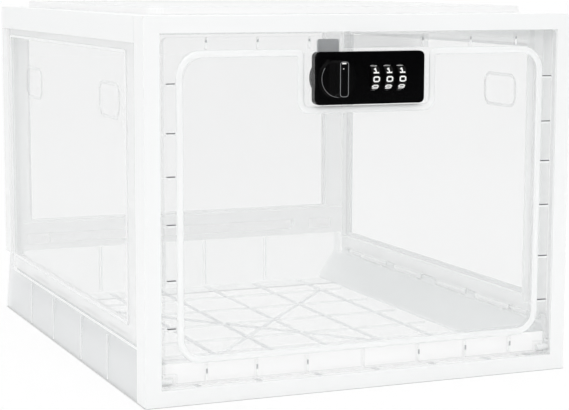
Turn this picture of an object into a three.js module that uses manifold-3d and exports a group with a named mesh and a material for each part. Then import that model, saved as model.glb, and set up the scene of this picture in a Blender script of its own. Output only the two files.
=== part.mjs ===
// Lockable medicine box: a tray base, a front frame with a clear drop-down door, two folding
// clear sides, a clear back, a lift-off lid, and a three-wheel combination cam lock on the door.
// Millimetres, +Z up, the door faces -Y. Origin at the middle of the footprint, on the floor.
import * as THREE from 'three';
import { mergeVertices } from 'three/addons/utils/BufferGeometryUtils.js';
import Module from 'manifold-3d';

const wasm = await Module();
wasm.setup();

// Whole box
const boxWidth = 300;
const boxDepth = 360;
const boxHeight = 241.5;
const half = boxWidth / 2;

// Clearance between neighbours, how far a cutter runs past a face, and how far joined solids sink in
const gap = 0.3;
const past = 1;
const bite = 0.2;

// Sides of round bars, and the least radius and edge that an outline keeps
const fineSides = 36;
const coarseSides = 16;
const sliver = 0.01;

// Knob reach in front of the frame decides where the footprint's middle lies
const plateProud = 4;
const knobHeight = 11;
const knobReach = plateProud + knobHeight;
const frontY = -(boxDepth - knobReach) / 2;
const backY = frontY + boxDepth;

// Front frame
const frameDepth = 18;
const stileWidth = 10.3;
const frameWall = 3;
const behindFrameY = frontY + frameDepth;

// Door, set in the frame's opening
const doorGap = 0.6;
const doorRecess = 1;
const doorRimDepth = 7.7;
const doorPlate = 2.5;
const doorPlateInset = 1.2;
const doorCorner = 3;
const lipWidth = 2.2;
const channelWidth = 8;
const channelFloor = 2;
const beadWidth = 4.5;
const beadCorner = 16;
const bottomBeadRise = 7;
const doorRib = 1.2;
const doorRibDepth = 4.7;
const sideRibDrops = [42, 72.3, 99, 128.8, 163.7, 193.9];
const topRibInsets = [41, 75, 110];
const cheekInset = 0.5;
const pocketMargin = 5.5;
const pocketFoot = 1;
const doorEdgeChamfer = 2;

// Door hinge pins
const pinRadius = 2;
const pinLength = 15;
const pinSlack = 0.3;
const hingeBehindFace = 3.8;
const hingeAboveEdge = 4.1;
const hingeBossHeight = 9;

// Lock
const lockDrop = 39.5;
const lockZ = boxHeight - lockDrop;
const plateWidth = 77;
const plateHeight = 33.4;
const plateCorner = 3.5;
const plateEdge = 0.8;
const plateEdgeDepth = 1;
const knobX = -23.6;
const knobRadius = 12;
const knobFlange = 2.5;
const gripWidth = 7;
const gripInset = 0.4;
const gripCorner = 2.5;
const gripEdge = 0.8;
const knobSocket = 5;
const spindleRadius = 3.9;
const spindleTipRadius = 3;
const barrelRadius = 7.8;
const nutRadius = 13.8;
const nutThickness = 3.4;
const threadShown = 0.6;
const spindleShown = 1;
const camWidth = 15;
const camThickness = 1.6;
const camTopGap = 4.9;
const camCorner = 1;
const hexAcross = 10;
const hexThickness = 3;
const wheelRadius = 9;
const wheelWidth = 5.6;
const wheelProud = 3.4;
const wheelPitch = 9.3;
const firstWheelX = 2.4;
const wheelCount = 3;
const axleRadius = 1.8;
const axleReach = 2.2;
const axleStopWidth = 1.5;
const wellMargins = [1.6, 2.6];
const fenceClear = 0.4;
const windowWidth = 6.2;
const windowHeight = 16.4;
const plateSkin = 1;
const caseWall = 1.5;
const caseHeight = 26;
const caseLeft = -5;
const caseRight = 33.8;
const caseDepth = 10.4;
const buttonX = 29;
const buttonRadius = 2;
const buttonTravel = 1;
const collarWidth = 0.8;
const collarHeight = 1.4;
const springWire = 0.25;
const springMargin = 0.3;
const springInset = 1;
const springSheet = 0.5;
const fingerWidth = 3;
const fingerDepth = 1.5;
const shelfRise = 9;
const fenceTravel = 1.2;
const screwX = 35.9;
const screwSpread = 7;
const screwRadius = 1.2;
const screwHeadRadius = 1.75;
const screwHead = 1.2;
const screwTipCover = 2;
const earThickness = 2;
const earRim = 0.6;
const earInset = 2;
const fenceDepth = 2;
const fenceHeight = 2;
const fenceLeg = 2.8;

// Base tray
const wall = 2.5;
const floorTop = 8;
const skirtDraft = 2.1;
const rimHeight = 35;
const rimWidth = 2.3;
const rimFlange = 1.2;
const rimFlangeHeight = 3;
const rearWallHeight = 45.7;
const frontWallHeight = 27.5;
const floorInset = 26;
const pocketInset = 10.8;
const pocketBackInset = 5.2;
const pocketDraft = 0.5;
const cornerDepth = 17;
const floorRibDrop = 2;
const floorRib = 1.5;
const ribPitchX = 42.4;
const ribPitchY = 51;
const ribRuns = 6;
const diagonalRise = 0.3;
const rearRibPlaces = [18, 73];
const rearRib = 2;
const rearRibReach = 3;
const skirtRibWidth = 1.5;
const skirtRibPlaces = [36.3, 99.2];
const skirtRibMargin = 1;
const rearDraft = 0.6;
const lugInset = 3;
const endLug = 12;

// Folding sides
const sideInset = 2.5;
const sideThickness = 7;
const sideFrontGap = 1;
const hingeInset = 2;
const hingeHeight = 32.5;
const knuckleRadius = 2.4;
const rodRadius = 1.5;
const rodInset = 2;
const knuckleRuns = [[12, 60], [74, 123]];
const sideTopGap = 0.5;
const sideFrontBorder = 24;
const sideRearBorder = 4;
const sideWindowBottom = 47;
const windowDrop = 23.5;
const windowTop = boxHeight - windowDrop;
const sheetInset = 1.7;
const skinWall = 1;
const windowSheet = 2.5;
const windowLap = 2.3;
const beadProud = 0.8;
const sideBead = 2;
const thumbRests = [[40, 85], [232, 277]];
const thumbDrop = 43.5;
const thumbHeight = 24;
const thumbTop = boxHeight - thumbDrop;
const thumbBottom = thumbTop - thumbHeight;
const thumbProud = 1;
const thumbLine = 2.2;
const thumbCorner = 8;

// Back
const backWall = 4.5;
const backWindowHalf = half - 21.5;
const backWindowBottom = 70;
const backSheetInset = 1.5;
const railDepth = 4;
const railSlotBottom = 54;
const railSlotTop = 59;
const railSlotDepth = 2.5;
const railSlotInsets = [16, 34, 50];
const railTopDrop = 2;

// Lid
const lidPlate = 2.6;
const lidSkirt = 1.6;
const lidSkirtDrop = 16.5;
const lidSlack = 0.4;
const platformInset = 16;
const platformRise = 5;
const platformCorner = 10;
const platformWall = 4;
const platformTop = 2.5;
const platformChamfer = 0.8;
const lidOpeningLap = 9;
const lidOpeningCorner = 4;
const lidFrontGap = 0.5;

function toSolid(geometry) {
  const plain = geometry.index ? geometry.toNonIndexed() : geometry.clone();
  plain.deleteAttribute('normal');
  plain.deleteAttribute('uv');
  const merged = mergeVertices(plain, 1e-5);
  return new wasm.Manifold(new wasm.Mesh({
    numProp: 3,
    vertProperties: new Float32Array(merged.attributes.position.array),
    triVerts: new Uint32Array(merged.index.array),
  }));
}

function block(x0, x1, y0, y1, z0, z1) {
  const geometry = new THREE.BoxGeometry(Math.abs(x1 - x0), y1 - y0, z1 - z0);
  return toSolid(geometry.translate((x0 + x1) / 2, (y0 + y1) / 2, (z0 + z1) / 2));
}

// A box whose top face has other edges than its bottom face
function drafted(bottom, top, z0, z1) {
  const geometry = new THREE.BoxGeometry(1, 1, 1);
  const p = geometry.attributes.position;
  for (let i = 0; i < p.count; i += 1) {
    const face = p.getZ(i) > 0 ? top : bottom;
    p.setXYZ(
      i,
      p.getX(i) > 0 ? face[1] : face[0],
      p.getY(i) > 0 ? face[3] : face[2],
      p.getZ(i) > 0 ? z1 : z0,
    );
  }
  return toSolid(geometry);
}

function roundedShape(x0, x1, z0, z1, radius) {
  const shape = new THREE.Shape();
  const r = Math.max(sliver, Math.min(radius, (x1 - x0) / 2 - sliver, (z1 - z0) / 2 - sliver));
  shape.moveTo(x0 + r, z0);
  shape.lineTo(x1 - r, z0);
  shape.absarc(x1 - r, z0 + r, r, -Math.PI / 2, 0);
  shape.lineTo(x1, z1 - r);
  shape.absarc(x1 - r, z1 - r, r, 0, Math.PI / 2);
  shape.lineTo(x0 + r, z1);
  shape.absarc(x0 + r, z1 - r, r, Math.PI / 2, Math.PI);
  shape.lineTo(x0, z0 + r);
  shape.absarc(x0 + r, z0 + r, r, Math.PI, Math.PI * 1.5);
  return shape;
}

function polygon(points) {
  const shape = new THREE.Shape();
  points.forEach(([a, b], i) => (i ? shape.lineTo(a, b) : shape.moveTo(a, b)));
  return shape;
}

const axisTurn = {
  x: new THREE.Matrix4().makeBasis(
    new THREE.Vector3(0, 1, 0),
    new THREE.Vector3(0, 0, 1),
    new THREE.Vector3(1, 0, 0),
  ),
  y: new THREE.Matrix4().makeBasis(
    new THREE.Vector3(1, 0, 0),
    new THREE.Vector3(0, 0, 1),
    new THREE.Vector3(0, -1, 0),
  ),
  z: new THREE.Matrix4(),
};

// A flat outline swept straight along one axis: (y, z) along x, (x, z) along y, (x, y) along z
function slab(shape, axis, from, to, curveSegments = 4) {
  const geometry = new THREE.ExtrudeGeometry(shape, {
    depth: to - from,
    bevelEnabled: false,
    curveSegments,
  });
  geometry.translate(0, 0, axis === 'y' ? -to : from);
  return toSolid(geometry.applyMatrix4(axisTurn[axis]));
}

// A round bar along one axis, with its centre line at (a, b) of the other two axes
function rod(axis, a, b, radius, from, to, sides = 24) {
  const geometry = new THREE.CylinderGeometry(radius, radius, to - from, sides);
  geometry.rotateX(Math.PI / 2).translate(0, 0, (from + to) / 2);
  if (axis === 'x') {
    geometry.rotateY(Math.PI / 2).translate(0, a, b);
  } else if (axis === 'y') {
    geometry.rotateX(-Math.PI / 2).translate(a, 0, b);
  } else {
    geometry.translate(a, b, 0);
  }
  return toSolid(geometry);
}

const join = (pieces) => pieces.reduce((whole, piece) => whole.add(piece));
const cut = (whole, pieces) => pieces.reduce((left, piece) => left.subtract(piece), whole);

const finishes = {
  milkyPlastic: { color: 0xf3f4f4, roughness: 0.42, metalness: 0 },
  clearPlastic: { color: 0xe9eced, roughness: 0.12, metalness: 0 },
  blackPlastic: { color: 0x0d0d0f, roughness: 0.35, metalness: 0 },
  blackMetal: { color: 0x101012, roughness: 0.28, metalness: 0.2 },
  steel: { color: 0xa9abad, roughness: 0.3, metalness: 1 },
};

const group = new THREE.Group();
group.name = 'medication_lock_box';

function place(name, piece, finish) {
  const mesh = piece.getMesh();
  const geometry = new THREE.BufferGeometry();
  const positions = new Float32Array((mesh.vertProperties.length / mesh.numProp) * 3);
  for (let i = 0; i < positions.length / 3; i += 1) {
    for (let k = 0; k < 3; k += 1) {
      positions[3 * i + k] = mesh.vertProperties[mesh.numProp * i + k];
    }
  }
  geometry.setAttribute('position', new THREE.BufferAttribute(positions, 3));
  geometry.setIndex(new THREE.BufferAttribute(new Uint32Array(mesh.triVerts), 1));
  geometry.computeVertexNormals();
  const look = new THREE.MeshStandardMaterial(finishes[finish]);
  look.name = finish;
  const part = new THREE.Mesh(geometry, look);
  part.name = name;
  group.add(part);
}

// Shared places of the door and its hinge
const doorHalf = half - stileWidth - doorGap;
const doorBottom = stileWidth + doorGap;
const doorTop = boxHeight - stileWidth - doorGap;
const doorFaceY = frontY + doorRecess;
const doorBackY = doorFaceY + doorRimDepth;
const plateFaceY = doorFaceY + doorPlateInset;
const plateBackY = plateFaceY + doorPlate;
const doorHingeY = doorFaceY + hingeBehindFace;
const doorHingeZ = doorBottom + hingeAboveEdge;
const bossHole = pinRadius + pinSlack;

function makeFrontFrame() {
  const outer = block(-half, half, frontY, behindFrameY, 0, boxHeight);
  const opening = block(
    -half + stileWidth,
    half - stileWidth,
    frontY - past,
    behindFrameY + past,
    stileWidth,
    boxHeight - stileWidth,
  );
  const hollow = block(
    -half + frameWall,
    half - frameWall,
    frontY + frameWall,
    behindFrameY + past,
    frameWall,
    boxHeight - frameWall,
  );
  const bosses = [-1, 1].map((side) => {
    const inner = side * (half - stileWidth);
    const outerWall = side * (half - frameWall + bite);
    return block(
      Math.min(inner, outerWall),
      Math.max(inner, outerWall),
      frontY + frameWall - bite,
      doorHingeY + hingeAboveEdge,
      doorHingeZ - hingeBossHeight / 2,
      doorHingeZ + hingeBossHeight / 2,
    );
  });
  const bores = [-1, 1].map((side) => {
    const reach = side * (doorHalf + pinLength / 2 + gap);
    return rod(
      'x',
      doorHingeY,
      doorHingeZ,
      bossHole,
      Math.min(side * doorHalf, reach),
      Math.max(side * doorHalf, reach),
    );
  });
  place('front_frame', cut(join([cut(outer, [opening, hollow]), ...bosses]), bores), 'milkyPlastic');
}

// The bead round the clear pane dips under the lock, which leaves a flat pocket for it
const beadOuterHalf = doorHalf - lipWidth - channelWidth;
const beadInnerHalf = beadOuterHalf - beadWidth;
const beadTop = doorTop - lipWidth - channelWidth;
const beadBottom = doorBottom + lipWidth + channelWidth + bottomBeadRise - beadWidth / 2;
const pocketHalf = plateWidth / 2 + pocketMargin;
const pocketBottom = lockZ - plateHeight / 2 - pocketFoot;

function makeDoor() {
  const whole = slab(
    roundedShape(-doorHalf, doorHalf, doorBottom, doorTop, doorCorner),
    'y',
    doorFaceY,
    doorBackY,
  );
  const channelOuter = slab(
    roundedShape(
      -doorHalf + lipWidth,
      doorHalf - lipWidth,
      doorBottom + lipWidth,
      doorTop - lipWidth,
      doorCorner,
    ),
    'y',
    doorFaceY - past,
    doorBackY - channelFloor,
  );
  const beadOuter = slab(
    roundedShape(-beadOuterHalf, beadOuterHalf, beadBottom, beadTop, beadCorner),
    'y',
    doorFaceY - past,
    doorBackY,
  );
  const channel = channelOuter.subtract(beadOuter);
  const pane = slab(
    roundedShape(
      -beadInnerHalf,
      beadInnerHalf,
      beadBottom + beadWidth,
      beadTop - beadWidth,
      beadCorner - beadWidth / 2,
    ),
    'y',
    doorFaceY - past,
    plateFaceY,
  );
  const dip = slab(
    roundedShape(
      -pocketHalf - beadWidth,
      pocketHalf + beadWidth,
      pocketBottom - beadWidth,
      beadTop + past,
      plateCorner + beadWidth,
    ),
    'y',
    doorFaceY - past,
    doorBackY,
  );
  const pocket = slab(
    roundedShape(-pocketHalf, pocketHalf, pocketBottom, beadTop - doorRib, plateCorner),
    'y',
    doorFaceY - past,
    plateFaceY,
  );
  const rearHollow = slab(
    roundedShape(
      -beadOuterHalf + doorPlate,
      beadOuterHalf - doorPlate,
      beadBottom + doorPlate,
      beadTop - doorRib,
      beadCorner - doorPlate,
    ),
    'y',
    plateBackY,
    doorBackY + past,
  );
  const ribBackY = doorBackY - channelFloor + bite;
  const ribFrontY = ribBackY - doorRibDepth;
  const ribs = [];
  for (const side of [-1, 1]) {
    const inner = side * (beadOuterHalf - bite);
    const outer = side * (doorHalf - lipWidth + bite);
    for (const z of sideRibDrops.map((drop) => boxHeight - drop)) {
      ribs.push(block(
        Math.min(inner, outer),
        Math.max(inner, outer),
        ribFrontY,
        ribBackY,
        z - doorRib / 2,
        z + doorRib / 2,
      ));
    }
    for (const inset of topRibInsets) {
      const middle = side * (half - inset);
      ribs.push(block(
        middle - doorRib / 2,
        middle + doorRib / 2,
        ribFrontY,
        ribBackY,
        beadTop - bite,
        doorTop - lipWidth + bite,
      ));
      ribs.push(block(
        middle - doorRib / 2,
        middle + doorRib / 2,
        ribFrontY,
        ribBackY,
        doorBottom + lipWidth - bite,
        beadBottom + bite,
      ));
    }
    ribs.push(block(
      Math.min(inner, outer),
      Math.max(inner, outer),
      doorFaceY + cheekInset,
      ribBackY,
      doorBottom + cheekInset,
      doorHingeZ + hingeBossHeight / 2,
    ));
  }
  ribs.push(block(
    -doorRib / 2,
    doorRib / 2,
    ribFrontY,
    ribBackY,
    doorBottom + lipWidth - bite,
    beadBottom + bite,
  ));
  const edge = slab(
    polygon([
      [doorFaceY - past, doorBottom - past],
      [doorFaceY + doorEdgeChamfer + past, doorBottom - past],
      [doorFaceY - past, doorBottom + doorEdgeChamfer + past],
    ]),
    'x',
    -half,
    half,
  );
  const bores = [-1, 1].map((side) => {
    const deep = side * (doorHalf - pinLength / 2 - gap);
    return rod(
      'x',
      doorHingeY,
      doorHingeZ,
      bossHole,
      Math.min(deep, side * half),
      Math.max(deep, side * half),
    );
  });
  const lockHoles = [
    rod('y', knobX, lockZ, barrelRadius + gap, doorFaceY - past, doorBackY + past, fineSides),
    block(
      caseLeft - gap,
      caseRight + gap,
      doorFaceY - past,
      doorBackY + past,
      lockZ - caseHeight / 2 - gap,
      lockZ + caseHeight / 2 + gap,
    ),
    ...screwPlaces().map((z) => rod('y', screwX, z, screwRadius + gap, doorFaceY - past, doorBackY)),
  ];
  const shell = cut(whole, [channel, pane.subtract(dip), pocket, rearHollow]);
  place('front_door', cut(join([shell, ...ribs]), [edge, ...bores, ...lockHoles]), 'clearPlastic');
}

function makeHingePins() {
  for (const [name, side] of [['left', -1], ['right', 1]]) {
    const inner = side * (doorHalf - pinLength / 2);
    const outer = side * (doorHalf + pinLength / 2);
    place(
      `door_hinge_pin_${name}`,
      rod('x', doorHingeY, doorHingeZ, pinRadius, Math.min(inner, outer), Math.max(inner, outer)),
      'milkyPlastic',
    );
  }
}

// Lock: places along Y, from the knob back to the cam nut
const lockFaceY = frontY - plateProud;
const lockBackY = plateFaceY - gap;
const knobTipY = frontY - knobReach;
const knobBackY = lockFaceY - gap;
const caseFrontY = lockBackY + gap;
const caseBackY = caseFrontY + caseDepth;
const nutFrontY = plateBackY + gap;
const barrelEndY = nutFrontY + nutThickness + threadShown;
const camFrontY = barrelEndY + 2 * gap;
const camBackY = camFrontY + camThickness;
const hexFrontY = camBackY + gap;
const hexBackY = hexFrontY + hexThickness;
const spindleEndY = hexBackY + spindleShown;
const camReach = boxHeight - stileWidth - camTopGap - lockZ;
const wheelY = lockFaceY - wheelProud + wheelRadius;
const fenceZ = lockZ + wheelRadius + 2 * gap;
const wheelXs = Array.from({ length: wheelCount }, (_, i) => firstWheelX + i * wheelPitch);
const lastWheelX = wheelXs[wheelCount - 1];
const wellLeft = firstWheelX - wheelWidth / 2 - wellMargins[0];
const wellRight = lastWheelX + wheelWidth / 2 + wellMargins[1];
const wellTop = fenceZ + fenceHeight + gap;
const wellBottom = lockZ - wheelRadius - gap;
const axleLeft = wellLeft - axleReach;
const axleRight = wellRight + axleReach;
const fenceLeft = knobX + spindleRadius + fenceClear;
const fenceFrontY = lockBackY - gap - fenceDepth;

function screwPlaces() {
  return [lockZ - screwSpread, lockZ + screwSpread];
}

function makeFaceplate() {
  const plate = slab(
    roundedShape(
      -plateWidth / 2,
      plateWidth / 2,
      lockZ - plateHeight / 2,
      lockZ + plateHeight / 2,
      plateCorner,
    ),
    'y',
    lockFaceY + plateEdgeDepth,
    lockBackY,
  );
  const face = slab(
    roundedShape(
      -plateWidth / 2 + plateEdge,
      plateWidth / 2 - plateEdge,
      lockZ - plateHeight / 2 + plateEdge,
      lockZ + plateHeight / 2 - plateEdge,
      plateCorner - plateEdge,
    ),
    'y',
    lockFaceY,
    lockFaceY + plateEdgeDepth + bite,
  );
  const barrel = rod('y', knobX, lockZ, barrelRadius, lockBackY - bite, barrelEndY, fineSides);
  const well = block(wellLeft, wellRight, lockFaceY + plateSkin, lockBackY + past, wellBottom, wellTop);
  const windows = wheelXs.map((x) => block(
    x - windowWidth / 2,
    x + windowWidth / 2,
    lockFaceY - past,
    lockBackY,
    lockZ - windowHeight / 2,
    lockZ + windowHeight / 2,
  ));
  const fenceRun = block(
    fenceLeft - gap,
    wellLeft + past,
    fenceFrontY - gap,
    lockBackY + past,
    fenceZ - gap,
    wellTop,
  );
  const fenceLegRun = block(
    fenceLeft - gap,
    fenceLeft + fenceLeg + fenceTravel + gap,
    fenceFrontY - gap,
    lockBackY + past,
    lockZ - fenceHeight,
    wellTop,
  );
  const axleSeat = block(
    axleLeft - gap,
    axleRight + gap,
    wheelY - axleRadius - gap,
    lockBackY + past,
    lockZ - axleRadius - gap,
    lockZ + axleRadius + gap,
  );
  const bore = rod('y', knobX, lockZ, spindleRadius + gap, lockFaceY - past, barrelEndY + past, fineSides);
  const screwBores = screwPlaces().map((z) => (
    rod('y', screwX, z, screwRadius + gap, lockFaceY + screwTipCover, lockBackY + past)
  ));
  const pieces = [well, ...windows, fenceRun, fenceLegRun, axleSeat, bore, ...screwBores];
  place('lock_faceplate', cut(join([plate, face, barrel]), pieces), 'blackMetal');
}

function makeKnob() {
  const flange = rod('y', knobX, lockZ, knobRadius, knobBackY - knobFlange, knobBackY, fineSides);
  const gripHalf = knobRadius - gripInset;
  const grip = slab(
    roundedShape(
      knobX - gripWidth / 2,
      knobX + gripWidth / 2,
      lockZ - gripHalf,
      lockZ + gripHalf,
      gripCorner,
    ),
    'y',
    knobTipY + gripEdge,
    knobBackY - knobFlange + bite,
  );
  const gripCap = slab(
    roundedShape(
      knobX - gripWidth / 2 + gripEdge,
      knobX + gripWidth / 2 - gripEdge,
      lockZ - gripHalf + gripEdge,
      lockZ + gripHalf - gripEdge,
      gripCorner - gripEdge,
    ),
    'y',
    knobTipY,
    knobTipY + gripEdge + bite,
  );
  const socket = rod(
    'y',
    knobX,
    lockZ,
    spindleTipRadius + gap,
    knobBackY - knobSocket - gap,
    knobBackY + past,
  );
  place('lock_knob', join([flange, grip, gripCap]).subtract(socket), 'blackPlastic');
  const spindle = join([
    rod('y', knobX, lockZ, spindleRadius, knobBackY + gap, barrelEndY + gap, fineSides),
    rod('y', knobX, lockZ, spindleTipRadius, knobBackY - knobSocket, spindleEndY),
  ]);
  place('knob_spindle', spindle, 'steel');
}

function makeCam() {
  const outline = new THREE.Shape();
  const curveSegments = 10;
  outline.absarc(0, 0, camWidth / 2, Math.PI, 2 * Math.PI);
  outline.lineTo(camWidth / 2, camReach - camCorner);
  outline.lineTo(camWidth / 2 - camCorner, camReach);
  outline.lineTo(camCorner - camWidth / 2, camReach);
  outline.lineTo(-camWidth / 2, camReach - camCorner);
  const blade = slab(outline, 'y', camFrontY, camBackY, curveSegments).translate([knobX, 0, lockZ]);
  const hole = rod('y', knobX, lockZ, spindleTipRadius + gap, camFrontY - past, camBackY + past);
  place('lock_cam', blade.subtract(hole), 'steel');
  const hex = rod('y', knobX, lockZ, hexAcross / Math.sqrt(3), hexFrontY, hexBackY, 6);
  const thread = rod('y', knobX, lockZ, spindleTipRadius + gap, hexFrontY - past, hexBackY + past);
  place('cam_nut', hex.subtract(thread), 'steel');
}

function makeMountingNut() {
  const ring = rod('y', knobX, lockZ, nutRadius, nutFrontY, nutFrontY + nutThickness, fineSides);
  const thread = rod(
    'y',
    knobX,
    lockZ,
    barrelRadius + gap,
    nutFrontY - past,
    nutFrontY + nutThickness + past,
    fineSides,
  );
  place('lock_mounting_nut', ring.subtract(thread), 'blackMetal');
}

function makeWheels() {
  const digits = 10;
  const flatShare = 0.8;
  const notchDepth = 0.5;
  const points = [];
  const step = (2 * Math.PI) / digits;
  for (let i = 0; i < digits; i += 1) {
    const angles = [
      [step * (i - flatShare / 2), wheelRadius],
      [step * i, wheelRadius],
      [step * (i + flatShare / 2), wheelRadius],
      [step * (i + 0.5), wheelRadius - notchDepth],
    ];
    for (const [angle, radius] of angles) {
      points.push([radius * Math.cos(angle), radius * Math.sin(angle)]);
    }
  }
  wheelXs.forEach((x, i) => {
    const disc = slab(polygon(points), 'x', x - wheelWidth / 2, x + wheelWidth / 2);
    const bore = rod('x', 0, 0, axleRadius + gap, x - wheelWidth, x + wheelWidth);
    place(`dial_wheel_${i + 1}`, disc.subtract(bore).translate([0, wheelY, lockZ]), 'blackPlastic');
  });
  place('wheel_axle', rod('x', wheelY, lockZ, axleRadius, axleLeft, axleRight), 'steel');
}

// The click spring's three fingers press the notches of the wheels from below
function makeClickSpring() {
  const bottom = lockZ - caseHeight / 2 + caseWall + gap;
  const springFrontY = caseFrontY + springInset;
  const strip = block(
    firstWheelX - wheelWidth / 2,
    lastWheelX + wheelWidth / 2,
    springFrontY,
    caseBackY - caseWall - gap,
    bottom,
    bottom + springSheet,
  );
  const fingers = wheelXs.map((x) => block(
    x - fingerWidth / 2,
    x + fingerWidth / 2,
    springFrontY,
    springFrontY + fingerDepth,
    bottom + springSheet - bite,
    lockZ - wheelRadius - gap,
  ));
  place('click_spring', join([strip, ...fingers]), 'steel');
}

function makeCase() {
  const z0 = lockZ - caseHeight / 2;
  const z1 = lockZ + caseHeight / 2;
  const shell = block(caseLeft, caseRight, caseFrontY, caseBackY, z0, z1);
  const hollow = block(
    caseLeft + caseWall,
    caseRight - caseWall,
    caseFrontY - past,
    caseBackY - caseWall,
    z0 + caseWall,
    z1 - caseWall,
  );
  const earFrontY = plateBackY + gap;
  const ear = block(
    caseRight - bite,
    screwX + screwHeadRadius + earRim,
    earFrontY,
    earFrontY + earThickness,
    z0 + earInset,
    z1 - earInset,
  );
  const axleNotch = block(
    axleLeft - gap,
    axleRight + gap,
    caseFrontY - past,
    wheelY + axleRadius + gap,
    lockZ - axleRadius - gap,
    lockZ + axleRadius + gap,
  );
  const axleStop = block(
    axleRight - axleStopWidth,
    axleRight,
    caseFrontY,
    caseBackY - caseWall + bite,
    z0 + shelfRise,
    z1 - caseWall + bite,
  );
  const buttonY = caseFrontY + caseDepth / 2;
  const buttonHole = rod('z', buttonX, buttonY, buttonRadius + gap, z0 - past, z0 + caseWall + past);
  const springShelf = block(
    buttonX - buttonRadius - collarWidth,
    caseRight - caseWall + bite,
    caseFrontY + springInset,
    caseBackY - caseWall + bite,
    z0 + shelfRise,
    z0 + shelfRise + caseWall,
  );
  const screwBores = screwPlaces().map((z) => (
    rod('y', screwX, z, screwRadius + gap, earFrontY - past, earFrontY + earThickness + past)
  ));
  const body = cut(shell, [hollow]);
  const whole = cut(join([body, ear, axleStop, springShelf]), [
    axleNotch,
    buttonHole,
    ...screwBores,
  ]);
  place('lock_case', whole, 'blackPlastic');

  screwPlaces().forEach((z, i) => {
    const headY = earFrontY + earThickness + gap;
    const screw = join([
      rod('y', screwX, z, screwRadius, lockFaceY + screwTipCover + gap, headY + bite, coarseSides),
      rod('y', screwX, z, screwHeadRadius, headY, headY + screwHead, coarseSides),
    ]);
    place(`lock_screw_${['lower', 'upper'][i]}`, screw, 'steel');
  });

  // Code reset button under the case, with its return spring
  const collarZ = z0 + caseWall + gap;
  const collarRadius = buttonRadius + collarWidth;
  const button = join([
    rod('z', buttonX, buttonY, buttonRadius, z0 - buttonTravel - gap, collarZ + bite, coarseSides),
    rod('z', buttonX, buttonY, collarRadius, collarZ, collarZ + collarHeight, coarseSides),
  ]);
  place('code_reset_button', button, 'blackPlastic');
  const springBottom = collarZ + collarHeight + gap + springWire;
  const springTop = z0 + shelfRise - buttonTravel - gap - springWire;
  const turns = 3;
  const stepsPerTurn = 8;
  const wireSides = 5;
  const coilRadius = buttonRadius - springMargin;
  const points = Array.from({ length: turns * stepsPerTurn + 1 }, (_, i) => {
    const angle = (2 * Math.PI * i) / stepsPerTurn;
    return new THREE.Vector3(
      buttonX + coilRadius * Math.cos(angle),
      buttonY + coilRadius * Math.sin(angle),
      springBottom + ((springTop - springBottom) * i) / (turns * stepsPerTurn),
    );
  });
  const wire = new THREE.Shape();
  wire.absarc(0, 0, springWire, 0, 2 * Math.PI);
  const coil = new THREE.ExtrudeGeometry(wire, {
    extrudePath: new THREE.CatmullRomCurve3(points),
    steps: turns * stepsPerTurn,
    curveSegments: wireSides,
    bevelEnabled: false,
  });
  place('reset_spring', toSolid(coil), 'steel');
}

// The fence slides aside from the wheels when the knob turns
function makeFence() {
  const bar = block(
    fenceLeft,
    lastWheelX + wheelWidth / 2,
    fenceFrontY,
    fenceFrontY + fenceDepth,
    fenceZ,
    fenceZ + fenceHeight,
  );
  const leg = block(
    fenceLeft,
    fenceLeft + fenceLeg,
    fenceFrontY,
    fenceFrontY + fenceDepth,
    lockZ - fenceHeight / 2,
    fenceZ + fenceHeight,
  );
  place('locking_fence', join([bar, leg]), 'steel');
}

// Base tray
const baseFrontY = behindFrameY + gap;
const rimOuter = half - skirtDraft;
const sideFrontY = behindFrameY + sideFrontGap;
const cornerY = backY - cornerDepth;
const sideRearY = cornerY - sideFrontGap;
const sideMiddleY = (sideFrontY + sideRearY) / 2;
const sideOuter = half - sideInset;
const sideInner = sideOuter - sideThickness;
const hingeX = sideInner + hingeInset;
const floorHalf = half - floorInset;
const pocketHalfWidth = half - pocketInset;
const deckTop = hingeHeight - knuckleRadius - gap;
const sideBottom = rimHeight + gap;
const plateUnderZ = boxHeight - lidPlate;
const sideTop = plateUnderZ - sideTopGap;

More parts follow.
